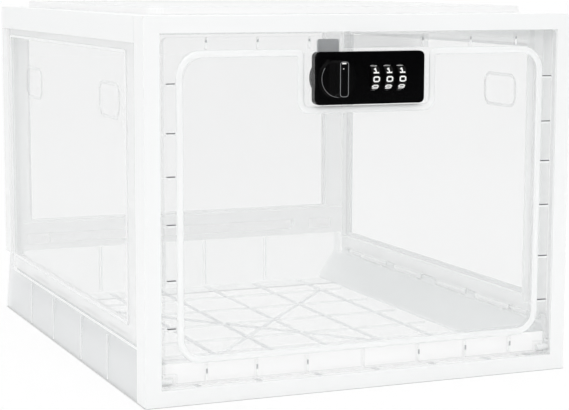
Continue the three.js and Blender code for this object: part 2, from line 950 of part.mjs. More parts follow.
function makeBase() {
  const skirt = drafted(
    [-half, half, baseFrontY, backY],
    [-rimOuter, rimOuter, baseFrontY, backY - skirtDraft],
    0,
    rimHeight,
  );
  const flange = block(
    -rimOuter - rimFlange,
    rimOuter + rimFlange,
    baseFrontY,
    cornerY - gap,
    rimHeight - rimFlangeHeight,
    rimHeight,
  );
  const rearBlock = drafted(
    [-rimOuter, rimOuter, cornerY, backY - skirtDraft],
    [-rimOuter + rearDraft, rimOuter - rearDraft, cornerY, backY - skirtDraft - rearDraft],
    rimHeight - bite,
    rearWallHeight,
  );
  const frontWallY = baseFrontY + wall;
  const pocketBackY = backY - pocketBackInset;
  const pocket = drafted(
    [-floorHalf, floorHalf, frontWallY + pocketDraft, pocketBackY - pocketDraft],
    [-pocketHalfWidth, pocketHalfWidth, frontWallY, pocketBackY],
    floorTop,
    deckTop,
  );
  const abovePocket = block(
    -pocketHalfWidth,
    pocketHalfWidth,
    frontWallY,
    pocketBackY,
    deckTop - bite,
    rearWallHeight + past,
  );
  const hingeRun = block(
    -rimOuter + rimWidth,
    rimOuter - rimWidth,
    baseFrontY - past,
    cornerY,
    deckTop,
    rearWallHeight + past,
  );
  const overFrontWall = block(
    -rimOuter + rimWidth,
    rimOuter - rimWidth,
    baseFrontY - past,
    frontWallY + bite,
    frontWallHeight,
    rearWallHeight,
  );
  const underSkirt = drafted(
    [-half + wall, half - wall, frontWallY, backY - wall],
    [-rimOuter + wall, rimOuter - wall, frontWallY, backY - skirtDraft - wall],
    -1,
    deckTop - wall,
  );
  const underPocket = drafted(
    [-floorHalf - wall, floorHalf + wall, frontWallY, backY],
    [-pocketHalfWidth - wall, pocketHalfWidth + wall, frontWallY, backY],
    floorTop - wall,
    deckTop,
  );
  const body = cut(join([skirt, flange, rearBlock]), [
    pocket,
    abovePocket,
    hingeRun,
    overFrontWall,
    underSkirt.subtract(underPocket),
  ]);

  // Stiffening ribs under the floor: a grid with two diagonals through its crossings
  const ribTop = floorTop - wall + bite;
  const ribBottom = ribTop - bite - floorRibDrop;
  const ribRear = backY - wall;
  const ribs = [];
  const reachX = ((ribRuns - 1) / 2) * ribPitchX;
  const reachY = ((ribRuns - 1) / 2) * ribPitchY;
  for (let i = 0; i < ribRuns; i += 1) {
    const x = i * ribPitchX - reachX;
    const y = sideMiddleY + i * ribPitchY - reachY;
    ribs.push(
      block(x - floorRib / 2, x + floorRib / 2, frontWallY - bite, ribRear, ribBottom, ribTop),
      block(-floorHalf, floorHalf, y - floorRib / 2, y + floorRib / 2, ribBottom, ribTop),
    );
  }
  const diagonal = 2 * Math.hypot(reachX, reachY);
  for (const side of [-1, 1]) {
    const bar = block(
      -diagonal / 2,
      diagonal / 2,
      -floorRib / 2,
      floorRib / 2,
      ribBottom + diagonalRise,
      ribTop,
    );
    const turn = (side * Math.atan2(reachY, reachX) * 180) / Math.PI;
    ribs.push(bar.rotate([0, 0, turn]).translate([0, sideMiddleY, 0]));
  }

  // Upright ribs on the sloping skirt, flush with its foot
  for (const side of [-1, 1]) {
    for (const along of skirtRibPlaces.flatMap((d) => [-d, d])) {
      const y = sideMiddleY + along;
      const inner = side * (rimOuter - skirtRibMargin);
      const outer = side * (half - bite);
      ribs.push(block(
        Math.min(inner, outer),
        Math.max(inner, outer),
        y - skirtRibWidth / 2,
        y + skirtRibWidth / 2,
        skirtRibMargin,
        rimHeight - rimFlangeHeight - skirtRibMargin,
      ));
    }
  }

  // Upright ribs inside the rear wall
  for (const x of rearRibPlaces.flatMap((d) => [-d, d])) {
    ribs.push(block(
      x - rearRib / 2,
      x + rearRib / 2,
      pocketBackY - rearRibReach,
      pocketBackY + bite,
      floorTop - bite,
      rearWallHeight - rearDraft,
    ));
  }

  // Hinge lugs between the knuckles of the sides, bored for the hinge rods
  const lugs = [];
  const rodBores = [];
  for (const side of [-1, 1]) {
    for (const [from, to] of lugRuns()) {
      lugs.push(rod('y', side * hingeX, hingeHeight, knuckleRadius, from, to));
      lugs.push(block(
        side * hingeX - knuckleRadius,
        side * hingeX + knuckleRadius,
        from,
        to,
        deckTop - bite,
        hingeHeight,
      ));
    }
    rodBores.push(rod(
      'y',
      side * hingeX,
      hingeHeight,
      rodRadius + gap,
      sideFrontY,
      sideRearY + bite,
    ));
  }
  place('base_tray', cut(join([body, ...ribs, ...lugs]), rodBores), 'milkyPlastic');
}

// Runs of knuckles along the hinge, as the side panel has them, and the lugs in between
function knuckleSpans() {
  const spans = [];
  for (const [near, far] of knuckleRuns) {
    spans.push([sideMiddleY - far, sideMiddleY - near], [sideMiddleY + near, sideMiddleY + far]);
  }
  return spans.sort((a, b) => a[0] - b[0]);
}

function lugRuns() {
  const spans = knuckleSpans();
  const first = sideFrontY + lugInset;
  const last = sideRearY - lugInset;
  const runs = [[first, first + endLug]];
  for (let i = 0; i + 1 < spans.length; i += 1) {
    runs.push([spans[i][1] + gap, spans[i + 1][0] - gap]);
  }
  runs.push([last - endLug, last]);
  return runs;
}

function makeHingeRods() {
  for (const [name, side] of [['left', -1], ['right', 1]]) {
    place(
      `${name}_hinge_rod`,
      rod(
        'y',
        side * hingeX,
        hingeHeight,
        rodRadius,
        sideFrontY + rodInset,
        sideRearY - rodInset,
        coarseSides,
      ),
      'milkyPlastic',
    );
  }
}

// One side: a frame with a clear sheet let into it from the inside. The other is its mirror image,
// but for the thumb rests, which stand as on the same panel turned round
function makeSides() {
  const windowFrontY = sideFrontY + sideFrontBorder;
  const windowRearY = sideRearY - sideRearBorder;
  const sheetOuter = sideOuter - sheetInset;
  const sheetInner = sheetOuter - windowSheet;
  const frame = block(sideInner, sideOuter, sideFrontY, sideRearY, sideBottom, sideTop);
  const opening = block(
    sideInner - past,
    sideOuter + past,
    windowFrontY,
    windowRearY,
    sideWindowBottom,
    windowTop,
  );
  const rebate = block(
    sideInner - past,
    sheetOuter + gap,
    windowFrontY - windowLap - gap,
    windowRearY + windowLap + gap,
    sideWindowBottom - windowLap - gap,
    windowTop + windowLap + gap,
  );
  const lighten = block(
    sideInner - past,
    sheetOuter - skinWall,
    sideFrontY + wall,
    windowFrontY - windowLap - gap - wall,
    sideBottom + 2 * wall,
    sideTop - wall,
  );
  const topLighten = block(
    sideInner - past,
    sheetOuter - skinWall,
    windowFrontY - windowLap,
    windowRearY + windowLap,
    windowTop + windowLap + gap + wall,
    sideTop - wall,
  );
  const knuckles = knuckleSpans().flatMap(([from, to]) => [
    rod('y', hingeX, hingeHeight, knuckleRadius, from, to, coarseSides),
    block(
      sideInner,
      hingeX + knuckleRadius - bite,
      from,
      to,
      hingeHeight - 2 * bite,
      sideBottom + bite,
    ),
  ]);
  const bore = rod('y', hingeX, hingeHeight, rodRadius + gap, sideFrontY, sideRearY, coarseSides);
  const bead = block(
    sideOuter - bite,
    sideOuter + beadProud,
    windowFrontY - sideBead,
    windowRearY + sideBead,
    sideWindowBottom - sideBead,
    windowTop + sideBead,
  );
  const cutters = [opening, rebate, lighten, topLighten, bore];
  const solid = cut(join([frame, ...knuckles, bead]), cutters);

  const sheet = block(
    sheetInner,
    sheetOuter,
    windowFrontY - windowLap,
    windowRearY + windowLap,
    sideWindowBottom - windowLap,
    windowTop + windowLap,
  );
  const ringAt = ([y0, y1]) => {
    const outer = roundedShape(y0, y1, thumbBottom, thumbTop, thumbCorner);
    const inner = roundedShape(
      y0 + thumbLine,
      y1 - thumbLine,
      thumbBottom + thumbLine,
      thumbTop - thumbLine,
      thumbCorner - thumbLine,
    );
    const ring = slab(outer, 'x', sheetOuter - bite, sheetOuter + thumbProud);
    return ring.subtract(slab(inner, 'x', sheetOuter - past, sheetOuter + thumbProud + past));
  };
  const leftSpans = thumbRests.map(([from, to]) => [sideFrontY + from, sideFrontY + to]);
  const rightSpans = thumbRests.map(([from, to]) => [sideRearY - to, sideRearY - from]);
  const leftWindow = join([sheet, ...leftSpans.map(ringAt)]);
  const rightWindow = join([sheet, ...rightSpans.map(ringAt)]);
  const mirrored = (m) => m.mirror([1, 0, 0]);
  place('left_side_frame', mirrored(solid), 'clearPlastic');
  place('left_side_window', mirrored(leftWindow), 'clearPlastic');
  place('right_side_frame', solid, 'clearPlastic');
  place('right_side_window', rightWindow, 'clearPlastic');
}

function makeBack() {
  const bottom = rearWallHeight + gap;
  const top = plateUnderZ - gap;
  const whole = block(-half, half, cornerY, backY, bottom, top);
  const hollow = block(
    -half + backWall,
    half - backWall,
    cornerY - past,
    backY - backWall,
    bottom - past,
    top + past,
  );
  const lidBand = block(
    -half - past,
    half + past,
    cornerY - past,
    backY + past,
    boxHeight - lidSkirtDrop - gap,
    top + past,
  );
  const lidInset = lidSkirt + lidSlack;
  const keep = block(
    -half + lidInset,
    half - lidInset,
    cornerY - 2 * past,
    backY - lidInset,
    bottom,
    top + 2 * past,
  );
  const rail = block(
    -half + backWall - bite,
    half - backWall + bite,
    backY - backWall - railDepth,
    backY - backWall + bite,
    bottom,
    backWindowBottom - railTopDrop,
  );
  const [slotEnd, slotNear, slotMiddle] = railSlotInsets.map((inset) => half - inset);
  const slotRuns = [[-slotEnd, -slotNear], [-slotMiddle, slotMiddle], [slotNear, slotEnd]];
  const slots = slotRuns.map(([from, to]) => block(
    from,
    to,
    backY - backWall - railDepth - past,
    backY - backWall - railDepth + railSlotDepth,
    railSlotBottom,
    railSlotTop,
  ));
  const opening = block(
    -backWindowHalf,
    backWindowHalf,
    cornerY,
    backY + past,
    backWindowBottom,
    windowTop,
  );
  const sheetBackY = backY - backSheetInset;
  const sheetFrontY = sheetBackY - windowSheet;
  const rebate = block(
    -backWindowHalf - windowLap - gap,
    backWindowHalf + windowLap + gap,
    cornerY,
    sheetBackY + gap,
    backWindowBottom - bite,
    windowTop + windowLap + gap,
  );
  const shell = join([cut(whole, [hollow]), rail]);
  const solid = cut(shell, [...slots, opening, rebate, lidBand.subtract(keep)]);
  place('rear_panel_frame', solid, 'milkyPlastic');
  place(
    'rear_window',
    block(
      -backWindowHalf - windowLap,
      backWindowHalf + windowLap,
      sheetFrontY,
      sheetBackY,
      backWindowBottom + gap,
      windowTop + windowLap,
    ),
    'clearPlastic',
  );
}

function makeLid() {
  const lidFrontY = behindFrameY + lidFrontGap;
  const skirtBottom = boxHeight - lidSkirtDrop;
  const whole = block(-half, half, lidFrontY, backY, skirtBottom, boxHeight);
  const hollow = block(
    -half + lidSkirt,
    half - lidSkirt,
    lidFrontY - past,
    backY - lidSkirt,
    skirtBottom - past,
    plateUnderZ,
  );
  const rise = [
    -half + platformInset,
    half - platformInset,
    lidFrontY + platformInset,
    backY - platformInset,
  ];
  const inset = (d) => [rise[0] + d, rise[1] - d, rise[2] + d, rise[3] - d];
  const opening = slab(
    roundedShape(...inset(lidOpeningLap), lidOpeningCorner),
    'z',
    plateUnderZ - past,
    boxHeight + past,
  );
  place('lid_frame', cut(whole, [hollow, opening]), 'milkyPlastic');

  const base = boxHeight + gap;
  const top = boxHeight + platformRise;
  const platform = join([
    slab(roundedShape(...rise, platformCorner), 'z', base, top - platformChamfer),
    slab(roundedShape(...inset(platformChamfer), platformCorner - platformChamfer), 'z', base, top),
  ]);
  const under = slab(
    roundedShape(...inset(platformWall), platformCorner - platformWall),
    'z',
    base - past,
    top - platformTop,
  );
  place('lid_window', platform.subtract(under), 'clearPlastic');
}

makeBase();
makeFrontFrame();
makeBack();
makeHingeRods();
makeSides();
makeLid();
makeDoor();
makeHingePins();
makeFaceplate();
makeCase();
makeFence();
makeMountingNut();
makeKnob();
makeCam();
makeWheels();
makeClickSpring();

export default group;
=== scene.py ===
import math

import bmesh
import bpy
from mathutils import Matrix, Vector


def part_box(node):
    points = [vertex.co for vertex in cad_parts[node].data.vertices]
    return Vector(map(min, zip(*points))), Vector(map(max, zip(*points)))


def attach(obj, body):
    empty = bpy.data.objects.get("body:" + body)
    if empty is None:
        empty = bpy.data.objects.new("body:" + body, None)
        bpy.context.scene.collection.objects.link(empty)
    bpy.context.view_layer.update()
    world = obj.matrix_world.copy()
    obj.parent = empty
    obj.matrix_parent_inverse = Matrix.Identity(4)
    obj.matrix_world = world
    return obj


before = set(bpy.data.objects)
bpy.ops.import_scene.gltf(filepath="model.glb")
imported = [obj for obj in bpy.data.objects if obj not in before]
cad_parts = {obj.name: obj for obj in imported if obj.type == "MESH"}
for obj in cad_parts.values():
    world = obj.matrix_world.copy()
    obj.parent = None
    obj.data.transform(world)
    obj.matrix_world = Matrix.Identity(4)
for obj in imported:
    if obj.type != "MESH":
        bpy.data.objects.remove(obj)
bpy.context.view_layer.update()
print("frame loaded:", len(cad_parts), "solids")

mm = 0.001  # every size below is in millimetres


# camera, placed by the box's own vanishing lines
cameraSetup = {
    "place": (-467.0, -1143.8, 263.7),
    "yaw": 22.857,  # degrees towards +X
    "pitch": 7.609,  # degrees down
    "roll": -0.180,
    "lens": 106.9,
    "sensor": 36,
    "nearest": 10,
    "farthest": 20000,
}


def makeCamera(setup):
    cam = bpy.data.objects.new("camera", bpy.data.cameras.new("camera"))
    bpy.context.scene.collection.objects.link(cam)
    yaw, pitch, roll = (math.radians(setup[k]) for k in ("yaw", "pitch", "roll"))
    forward = Vector((
        math.sin(yaw) * math.cos(pitch),
        math.cos(yaw) * math.cos(pitch),
        -math.sin(pitch),
    ))
    right = Vector((math.cos(yaw), -math.sin(yaw), 0))
    up = right.cross(forward)
    tiltedRight = right * math.cos(roll) - up * math.sin(roll)
    tiltedUp = up * math.cos(roll) + right * math.sin(roll)
    basis = Matrix((tiltedRight, tiltedUp, -forward)).transposed()
    cam.matrix_world = Matrix.Translation(Vector(setup["place"]) * mm) @ basis.to_4x4()
    cam.data.sensor_width = setup["sensor"]
    cam.data.lens = setup["lens"]
    cam.data.clip_start = setup["nearest"] * mm
    cam.data.clip_end = setup["farthest"] * mm
    bpy.context.scene.camera = cam


makeCamera(cameraSetup)
print("camera placed")


# small helpers for materials
def linear(hexColour):
    parts = [int(hexColour[i:i + 2], 16) / 255 for i in (1, 3, 5)]
    turned = [c / 12.92 if c <= 0.04045 else ((c + 0.055) / 1.055) ** 2.4 for c in parts]
    return (*turned, 1)


def addNode(tree, kind, settings=None, inputs=None, links=None):
    node = tree.nodes.new(kind)
    for name, value in (settings or {}).items():
        setattr(node, name, value)
    for name, value in (inputs or {}).items():
        node.inputs[name].default_value = value
    for name, source in (links or {}).items():
        tree.links.new(source, node.inputs[name])
    return node


def newMaterial(name):
    mat = bpy.data.materials.new(name)
    mat.use_nodes = True
    tree = mat.node_tree
    shader = tree.nodes["Principled BSDF"]
    return mat, tree, shader


def perMetre(sizeMm):  # noise scale that gives patches of about this size
    return 1 / (sizeMm * mm)


# world and floor: a white sweep all round, and a dark opening in front of the box for gloss to show
studio = {
    "white": "#ffffff",
    "opening": "#17181a",
    "openingTowards": (0.385, -0.913, -0.132),
    "openingFrom": 0.74,  # cosine off that direction where the white sweep ends
    "openingTo": 0.935,  # and where the opening is darkest
    "worldStrength": 1.0,
    "backdropStrength": 1.0,  # plain white, as the camera sees it
    "floorColour": "#fbfbfb",
    "floorRoughness": 0.9,
    "floorSize": 9000,
    "floorFront": 1250,  # the paper ends here in front of the box, so that the lock shows the dark opening
    "floorDrop": 0.2,
    "floorGlow": 0.86,  # share of the floor that stays white where a shadow falls
    "contactReach": 2,  # how far the painted contact shadow, a thin dark line, reaches from the foot of the box
    "contactShade": 0.4,
    "contactFrom": 0.4,  # share of open sky at which that line is darkest
    "contactTo": 0.9,  # and at which it is gone
    "contactSamples": 8,
    "footMiddle": (0, 7.5, 0),  # footprint of the box, under which there is no such line
    "footHalf": (147, 176),
    "keySize": 1100,
    "keyPower": 4.2,
    "keyPlace": (-300, -1750, 1250),
    "fillSize": 1300,
    "fillPower": 2.8,
    "fillPlace": (1300, -1200, 1200),
    "topSize": 300,
    "topPower": 0.35,
    "topPlace": (-150, -520, 660),
    "aim": (0, 0, 120),  # all three lamps look at this point
    "clearLayers": 32,  # many clear walls lie behind one another
}


def makeWorld(setup):
    world = bpy.data.worlds.new("white studio")
    bpy.context.scene.world = world
    world.use_nodes = True
    tree = world.node_tree
    tree.nodes.clear()
    coord = addNode(tree, "ShaderNodeTexCoord")
    near = addNode(tree, "ShaderNodeVectorMath", {"operation": "DOT_PRODUCT"},
                   inputs={1: setup["openingTowards"]}, links={0: coord.outputs["Generated"]})
    inside = addNode(tree, "ShaderNodeMapRange", {"interpolation_type": "SMOOTHSTEP"},
                     inputs={"From Min": setup["openingFrom"], "From Max": setup["openingTo"]},
                     links={"Value": near.outputs["Value"]})
    shade = addNode(tree, "ShaderNodeMixRGB", inputs={"Color1": linear(setup["white"]),
                                                      "Color2": linear(setup["opening"])},
                    links={"Fac": inside.outputs["Result"]})
    lit = addNode(tree, "ShaderNodeBackground", inputs={"Strength": setup["worldStrength"]},
                  links={"Color": shade.outputs["Color"]})
    plain = addNode(tree, "ShaderNodeBackground", inputs={"Color": linear(setup["white"]),
                                                          "Strength": setup["backdropStrength"]})
    path = addNode(tree, "ShaderNodeLightPath")
    seen = addNode(tree, "ShaderNodeMath", {"operation": "MAXIMUM"},
                   links={0: path.outputs["Is Camera Ray"], 1: path.outputs["Is Transmission Ray"]})
    mix = addNode(tree, "ShaderNodeMixShader", links={
        0: seen.outputs["Value"], 1: lit.outputs["Background"], 2: plain.outputs["Background"]})
    addNode(tree, "ShaderNodeOutputWorld", links={"Surface": mix.outputs["Shader"]})


def makeFloor(setup):
    mesh = bpy.data.meshes.new("studio_floor")
    half = setup["floorSize"] / 2 * mm
    drop = -setup["floorDrop"] * mm
    front = -setup["floorFront"] * mm
    corners = [(-half, front, drop), (half, front, drop), (half, half, drop), (-half, half, drop)]
    mesh.from_pydata(corners, [], [(0, 1, 2, 3)])
    floor = bpy.data.objects.new("studio_floor", mesh)
    bpy.context.scene.collection.objects.link(floor)
    mat, tree, shader = newMaterial("white paper sweep")
    shader.inputs["Base Color"].default_value = linear(setup["floorColour"])
    shader.inputs["Roughness"].default_value = setup["floorRoughness"]
    # painted contact shadow: ambient occlusion dims the floor's glow in a thin line round the foot of the
    # box, but not under it
    near = addNode(tree, "ShaderNodeAmbientOcclusion", {"samples": setup["contactSamples"]},
                   inputs={"Distance": setup["contactReach"] * mm})
    openShare = addNode(tree, "ShaderNodeMapRange",
                        inputs={"From Min": setup["contactFrom"], "From Max": setup["contactTo"],
                                "To Min": setup["contactShade"], "To Max": 1.0},
                        links={"Value": near.outputs["AO"]})
    coord = addNode(tree, "ShaderNodeTexCoord")
    offMiddle = addNode(tree, "ShaderNodeVectorMath", {"operation": "SUBTRACT"},
                        inputs={1: Vector(setup["footMiddle"]) * mm}, links={0: coord.outputs["Object"]})
    reach = addNode(tree, "ShaderNodeVectorMath", {"operation": "ABSOLUTE"},
                    links={0: offMiddle.outputs["Vector"]})
    axes = addNode(tree, "ShaderNodeSeparateXYZ", links={"Vector": reach.outputs["Vector"]})
    inWidth = addNode(tree, "ShaderNodeMath", {"operation": "LESS_THAN"},
                      inputs={1: setup["footHalf"][0] * mm}, links={0: axes.outputs["X"]})
    inDepth = addNode(tree, "ShaderNodeMath", {"operation": "LESS_THAN"},
                      inputs={1: setup["footHalf"][1] * mm}, links={0: axes.outputs["Y"]})
    under = addNode(tree, "ShaderNodeMath", {"operation": "MULTIPLY"},
                    links={0: inWidth.outputs["Value"], 1: inDepth.outputs["Value"]})
    lit = addNode(tree, "ShaderNodeMath", {"operation": "MAXIMUM"},
                  links={0: openShare.outputs["Result"], 1: under.outputs["Value"]})
    glow = addNode(tree, "ShaderNodeEmission", inputs={"Color": linear(setup["white"])},
                   links={"Strength": lit.outputs["Value"]})
    path = addNode(tree, "ShaderNodeLightPath")
    seen = addNode(tree, "ShaderNodeMath", {"operation": "MAXIMUM"},
                   links={0: path.outputs["Is Camera Ray"], 1: path.outputs["Is Glossy Ray"]})
    seenToo = addNode(tree, "ShaderNodeMath", {"operation": "MAXIMUM"},
                      links={0: seen.outputs["Value"], 1: path.outputs["Is Transmission Ray"]})
    share = addNode(tree, "ShaderNodeMath", {"operation": "MULTIPLY"}, inputs={1: setup["floorGlow"]},
                    links={0: seenToo.outputs["Value"]})
    mix = addNode(tree, "ShaderNodeMixShader", links={
        0: share.outputs["Value"], 1: shader.outputs["BSDF"], 2: glow.outputs["Emission"]})
    tree.links.new(mix.outputs["Shader"], tree.nodes["Material Output"].inputs["Surface"])
    mesh.materials.append(mat)


def makeLamp(name, size, power, place):
    light = bpy.data.lights.new(name, "AREA")
    light.size = size * mm
    light.energy = power
    lamp = bpy.data.objects.new(name, light)
    bpy.context.scene.collection.objects.link(lamp)
    lamp.location = Vector(place) * mm
    aim = Vector(studio["aim"]) * mm - lamp.location
    lamp.rotation_euler = aim.to_track_quat("-Z", "Y").to_euler()


makeWorld(studio)
makeFloor(studio)
makeLamp("key softbox", studio["keySize"], studio["keyPower"], studio["keyPlace"])
makeLamp("fill softbox", studio["fillSize"], studio["fillPower"], studio["fillPlace"])
makeLamp("top softbox", studio["topSize"], studio["topPower"], studio["topPlace"])
bpy.context.scene.cycles.transparent_max_bounces = studio["clearLayers"]
print("studio lit")


# polypropylene, injection moulded, milky: a soft satin face with faint flow marks
milky = {
    "colour": "#f5f6f6",
    "flowColour": "#f2f3f3",
    "paintedSideTone": "#f4f5f5",
    "flowSize": 70,
    "grainSize": 1.6,
    "noiseDetail": 2.0,
    "bump": 0.1,
    "bumpDepth": 0.05,
    "roughness": 0.38,
    "roughSpread": (-0.05, 0.08),  # how far the grain takes the roughness below and above that
    "ior": 1.49,
    "faceAlpha": 1.0,
    "edgeAlpha": 1.0,
    "alphaBy": "facing",
    "edgeBlend": 0.4,
    "sideAxis": "X",
    "sideFrom": 0.5,  # size of the normal along that axis where the painted side tone starts, and where it is full
    "sideTo": 0.9,
    "shadowShare": 0.7,  # share of its shade that light rays meet, for it scatters on through the plastic
}

# the same plastic without pigment: light passes, so ribs and edges behind it show as soft grey
natural = {
    **milky,
    "colour": "#f6f7f7",
    "roughness": 0.3,
    "faceAlpha": 0.5,
    "edgeAlpha": 0.6,
    "shadowShare": 0.3,
}

# lid platform: the same plastic, whose upright walls are painted white, a painted light
cloudy = {
    **natural,
    "colour": "#f4f5f5",
    "flowColour": "#f1f2f2",
    "paintedSideTone": "#fcfcfc",
    "faceAlpha": 0.6,
    "edgeAlpha": 1.0,
    "alphaBy": "side",
    "sideAxis": "Z",
    "sideFrom": 0.9,
    "sideTo": 0.5,
}

# natural tray: the floor is thin and pale; the upright outer walls are painted darker, a painted shade, and
# the inner walls lighter, a painted light against their shade
tray = {
    **natural,
    "colour": "#f4f6f6",
    "flowColour": "#f0f2f2",
    "paintedSideTone": "#e0e2e3",
    "paintedInnerTone": "#eff1f1",  # side walls that face the inside, painted lighter: painted light
    "faceAlpha": 0.16,
    "alphaBy": "side",
}


def addShadowShare(tree, shader, alpha, share):  # a clear or cloudy wall takes little light away
    path = addNode(tree, "ShaderNodeLightPath")
    lightRay = addNode(tree, "ShaderNodeMath", {"operation": "MAXIMUM"},
                       links={0: path.outputs["Is Shadow Ray"], 1: path.outputs["Is Diffuse Ray"]})
    kept = addNode(tree, "ShaderNodeMapRange", inputs={"To Min": 1.0, "To Max": share},
                   links={"Value": lightRay.outputs["Value"]})
    shaded = addNode(tree, "ShaderNodeMath", {"operation": "MULTIPLY"},
                     links={0: alpha, 1: kept.outputs["Result"]})
    tree.links.new(shaded.outputs["Value"], shader.inputs["Alpha"])


def makeMilky(name, setup):
    mat, tree, shader = newMaterial(name)
    coord = addNode(tree, "ShaderNodeTexCoord")
    flow = addNode(tree, "ShaderNodeTexNoise", inputs={"Scale": perMetre(setup["flowSize"]),
                                                       "Detail": setup["noiseDetail"]},
                   links={"Vector": coord.outputs["Object"]})
    shade = addNode(tree, "ShaderNodeMixRGB", inputs={"Color1": linear(setup["colour"]),
                                                      "Color2": linear(setup["flowColour"])},
                    links={"Fac": flow.outputs["Fac"]})
    # faces along the side axis take a painted tone: painted shade where it is darker than the face, painted
    # light where it is lighter; inner walls take their own
    axes = addNode(tree, "ShaderNodeSeparateXYZ", links={"Vector": coord.outputs["Normal"]})
    aside = addNode(tree, "ShaderNodeMath", {"operation": "ABSOLUTE"},
                    links={0: axes.outputs[setup["sideAxis"]]})
    upright = addNode(tree, "ShaderNodeMapRange", {"interpolation_type": "SMOOTHSTEP"},
                      inputs={"From Min": setup["sideFrom"], "From Max": setup["sideTo"]},
                      links={"Value": aside.outputs["Value"]})
    place = addNode(tree, "ShaderNodeSeparateXYZ", links={"Vector": coord.outputs["Object"]})
    outward = addNode(tree, "ShaderNodeMath", {"operation": "MULTIPLY"},
                      links={0: axes.outputs["X"], 1: place.outputs["X"]})
    outside = addNode(tree, "ShaderNodeMath", {"operation": "GREATER_THAN"}, inputs={1: 0.0},
                      links={0: outward.outputs["Value"]})
    paintedInnerTone = setup.get("paintedInnerTone", setup["paintedSideTone"])
    sideShade = addNode(tree, "ShaderNodeMixRGB", inputs={"Color1": linear(paintedInnerTone),
                                                          "Color2": linear(setup["paintedSideTone"])},
                        links={"Fac": outside.outputs["Value"]})
    sided = addNode(tree, "ShaderNodeMixRGB", links={"Fac": upright.outputs["Result"],
                                                     "Color1": shade.outputs["Color"],
                                                     "Color2": sideShade.outputs["Color"]})
    grain = addNode(tree, "ShaderNodeTexNoise", inputs={"Scale": perMetre(setup["grainSize"]),
                                                        "Detail": setup["noiseDetail"]},
                    links={"Vector": coord.outputs["Object"]})
    bump = addNode(tree, "ShaderNodeBump", inputs={"Strength": setup["bump"],
                                                   "Distance": setup["bumpDepth"] * mm},
                   links={"Height": grain.outputs["Fac"]})
    smoothest, roughest = (setup["roughness"] + change for change in setup["roughSpread"])
    rough = addNode(tree, "ShaderNodeMapRange", inputs={"To Min": smoothest, "To Max": roughest},
                    links={"Value": grain.outputs["Fac"]})
    shader.inputs["IOR"].default_value = setup["ior"]
    tree.links.new(sided.outputs["Color"], shader.inputs["Base Color"])
    tree.links.new(rough.outputs["Result"], shader.inputs["Roughness"])
    tree.links.new(bump.outputs["Normal"], shader.inputs["Normal"])
    edge = addNode(tree, "ShaderNodeLayerWeight", inputs={"Blend": setup["edgeBlend"]})
    share = upright.outputs["Result"] if setup["alphaBy"] == "side" else edge.outputs["Facing"]
    alpha = addNode(tree, "ShaderNodeMapRange", inputs={"To Min": setup["faceAlpha"],
                                                        "To Max": setup["edgeAlpha"]},
                    links={"Value": share})
    addShadowShare(tree, shader, alpha.outputs["Result"], setup["shadowShare"])
    return mat


# polystyrene, injection moulded, clear: faintly grey face on, with a painted whitish sheen where it is seen
# edge on
clear = {
    "colour": "#c6c8c9",
    "edgeColour": "#f1f3f3",
    "faceAlpha": 0.075,
    "edgeAlpha": 0.45,
    "roughness": 0.09,
    "ior": 1.59,
    "waveSize": 90,
    "waveDetail": 1.0,
    "wave": 0.05,
    "waveDepth": 1,
    "haze": (0.93, 1.07),  # least and most that the waves change how cloudy it is
    "edgeBlend": 0.35,
    "edgeFrom": 0.5,
    "edgeTo": 0.95,
    "shadowShare": 0.3,
}

# the same polystyrene, painted pale on the ridge and on the ribs' front edges: a painted highlight for the
# light that a thick rounded ridge gathers into a line
clearPaintedHighlightLook = {**clear, "colour": "#f9fafa", "edgeColour": "#e6e8e9", "faceAlpha": 0.7, "edgeAlpha": 0.7}

# and along the door's thick lower edge and the bands of the rear rail: whitish sheets of painted light
clearPaintedLightLook = {**clear, "colour": "#fdfdfd", "edgeColour": "#fafafa", "faceAlpha": 0.85, "edgeAlpha": 0.85}

# over the lock the door's channel lies in the lid's shade and looks grey
clearShaded = {**clear, "colour": "#eceeee", "edgeColour": "#e8eaea", "faceAlpha": 0.3, "edgeAlpha": 0.4}

# ends of the short ribs that stand upright in the channel: a soft grey tick of painted shade
clearTickShadeLook = {**clear, "colour": "#b0b2b4", "edgeColour": "#b0b2b4", "faceAlpha": 0.75, "edgeAlpha": 0.75}

# low raised rings of the thumb rests, which look a little greyer than the sheet round them
clearRing = {**clear, "colour": "#d3d5d6", "edgeColour": "#eceeee", "faceAlpha": 0.2, "edgeAlpha": 0.4}

# thin rib of it seen edge on, where the light is turned away: a dark smoky line of painted shade
clearPaintedShadeLook = {**clear, "colour": "#4c4e50", "edgeColour": "#5c5e60", "faceAlpha": 0.9, "edgeAlpha": 0.9}


